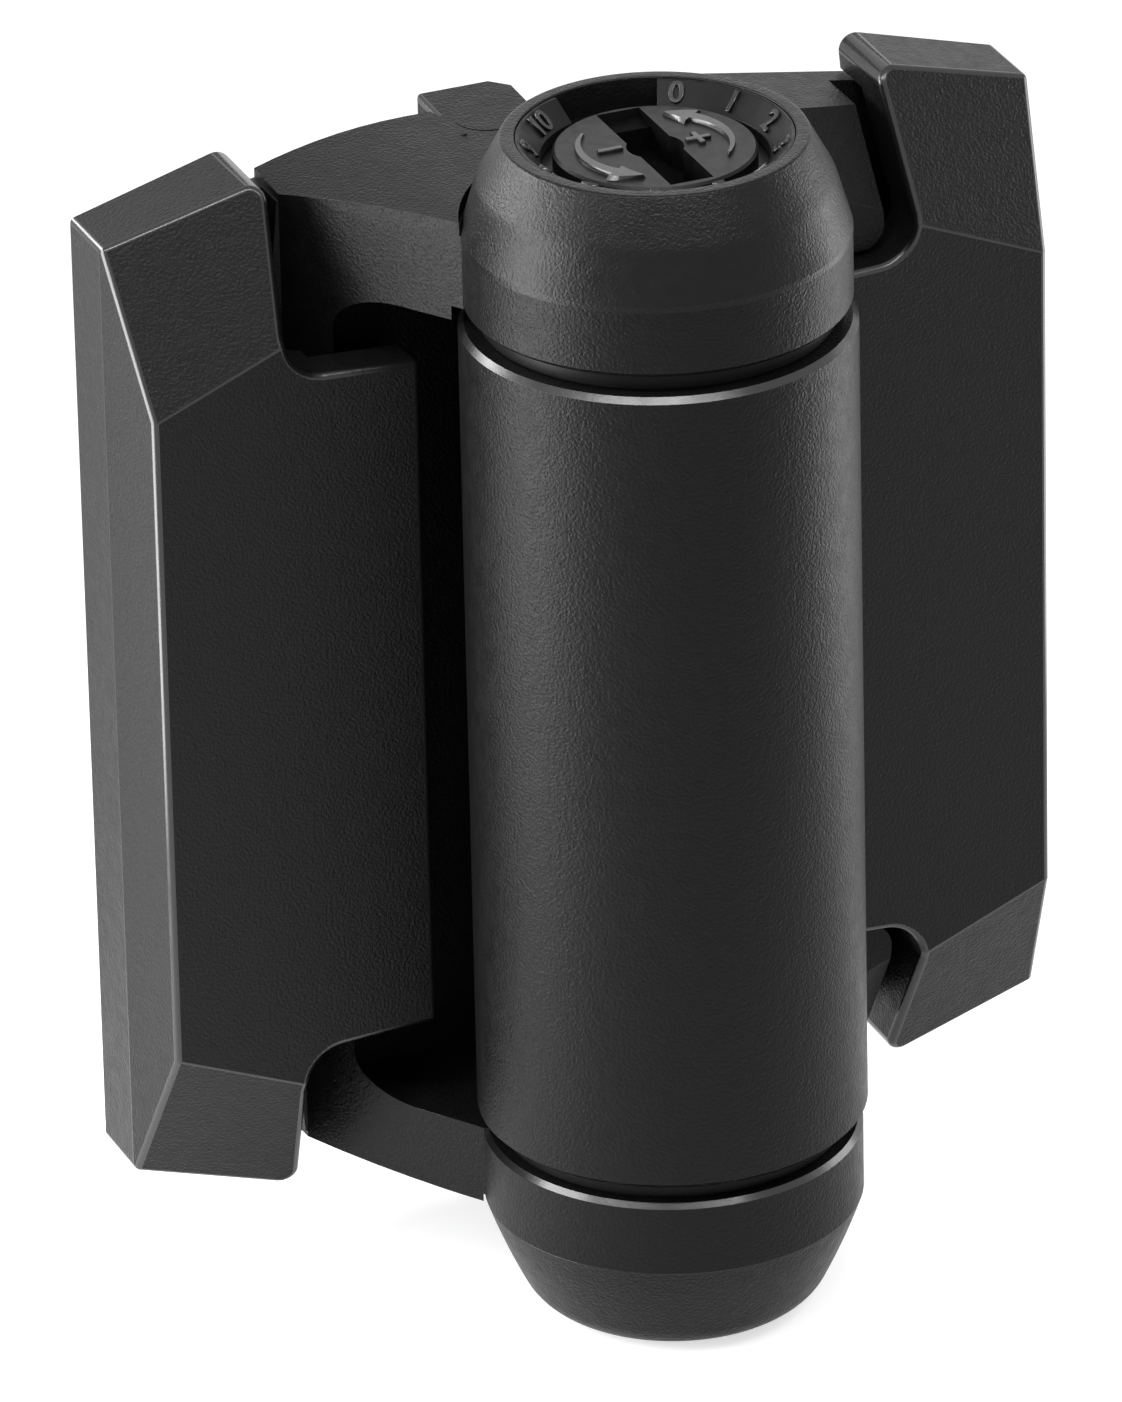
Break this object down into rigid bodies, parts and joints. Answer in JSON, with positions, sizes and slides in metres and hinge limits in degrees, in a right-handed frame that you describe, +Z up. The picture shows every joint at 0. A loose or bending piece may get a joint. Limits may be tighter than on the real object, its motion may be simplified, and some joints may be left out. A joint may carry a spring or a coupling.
{
  "type": "self-closing gate hinge",
  "caption": "Surface-mounted gate hinge with a spring-loaded barrel, covered leaves, end caps and a press-and-turn closing-force dial.",
  "frame": {"origin": "on the pivot axis, at half the barrel's height", "axes": "+Z up along the pivot, +X from the post leaf towards the gate leaf with the gate shut, +Y from the pivot to the faces of the post and the gate"},
  "size_m": [0.119, 0.0645, 0.152],
  "materials": {
    "frame_nylon": "black glass-filled nylon, fine moulded grain",
    "cover_nylon": "black nylon, fine moulded grain",
    "cap_nylon": "black glass-filled nylon, coarser moulded grain",
    "dial_acetal": "black acetal, satin",
    "bush_acetal": "black acetal, smooth",
    "steel": "stainless steel"
  },
  "bodies": {
    "post_leaf": {"post_leaf": "frame_nylon", "post_cover": "cover_nylon", "post_alignment_leg": "frame_nylon", "upper_cap": "cap_nylon", "lower_cap": "cap_nylon", "face_ring": "dial_acetal", "lock_ring": "steel", "upper_cap_screws": "steel", "lower_cap_screws": "steel", "pivot_pin": "steel"},
    "gate_leaf": {"gate_leaf": "frame_nylon", "gate_cover": "cover_nylon", "gate_alignment_leg": "frame_nylon", "upper_bush": "bush_acetal", "lower_bush": "bush_acetal", "spring_anchor": "bush_acetal", "torsion_spring": "steel"},
    "spring_driver": {"spring_driver": "steel", "driver_clip": "steel"},
    "tension_dial": {"tension_dial": "dial_acetal", "indicator_ring": "dial_acetal", "dial_spring": "steel"}
  },
  "joints": [
    {"name": "gate_swing", "type": "hinge", "parent": "post_leaf", "child": "gate_leaf", "pos_m": [0, 0, 0], "axis": [0, 0, -1], "range_deg": [0, 180], "stiffness_Nm_per_rad": 0.55, "springref_deg": -126.05, "deforming": ["torsion_spring"]},
    {"name": "dial_turn", "type": "hinge", "parent": "post_leaf", "child": "spring_driver", "pos_m": [0, 0, 0.06], "axis": [0, 0, 1], "range_deg": [0, 300], "deforming": ["torsion_spring"]},
    {"name": "dial_press", "type": "slide", "parent": "spring_driver", "child": "tension_dial", "axis": [0, 0, -1], "range_m": [0, 0.002], "stiffness_N_per_m": 2500, "springref_m": -0.002, "deforming": ["dial_spring"]}
  ]
}
